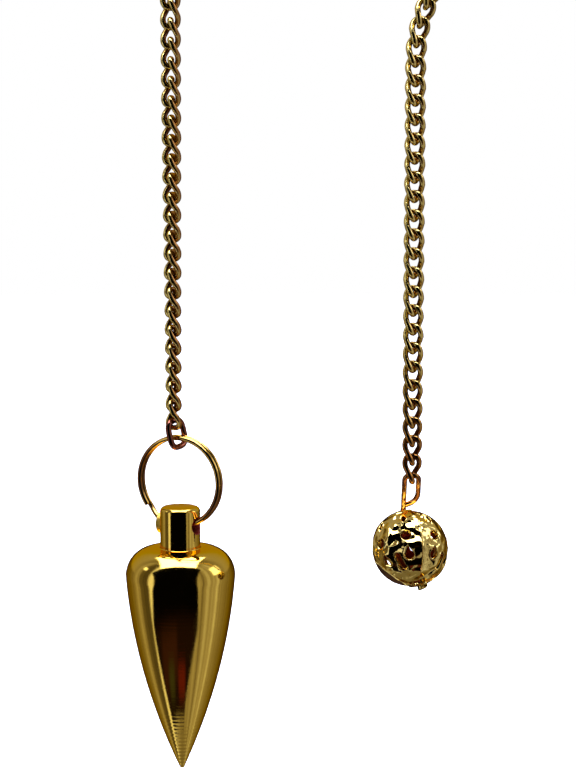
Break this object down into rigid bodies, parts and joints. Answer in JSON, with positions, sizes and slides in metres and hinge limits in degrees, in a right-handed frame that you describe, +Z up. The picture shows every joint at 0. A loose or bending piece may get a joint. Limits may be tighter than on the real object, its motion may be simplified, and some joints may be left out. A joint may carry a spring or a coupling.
{
  "type": "pendulum pendant",
  "caption": "Brass dowsing pendulum: turned bob on a split ring, curb chain hung over a mount, and a pierced filigree ball on the other end.",
  "frame": {"origin": "the point that the chain hangs over: the underside of its arch, at the crown", "axes": "+Z up, -Y to the front, +X to the right, from the bob's strand to the ball's strand"},
  "size_m": [0.0425, 0.0144, 0.1276],
  "materials": {
    "bob_brass": "mirror polished, with fine turning ridges near the tip",
    "ring_brass": "polished",
    "chain_brass": "polished",
    "ball_brass": "bright outside, duller and redder inside"
  },
  "bodies": {
    "chain": {"chain": "chain_brass", "end_link": "ring_brass", "ball_eye": "ball_brass", "ball": "ball_brass"},
    "ring": {"split_ring": "ring_brass"},
    "bob": {"bob": "bob_brass"}
  },
  "joints": [
    {"name": "ring_swing", "type": "hinge", "parent": "chain", "child": "ring", "pos_m": [-0.01657, 0, -0.08031], "axis": [0.9063, -0.4226, 0], "range_deg": [-90, 90]},
    {"name": "bob_swing", "type": "hinge", "parent": "ring", "child": "bob", "pos_m": [-0.01657, 0, -0.09184], "axis": [0.9063, -0.4226, 0], "range_deg": [-95, 95]}
  ]
}
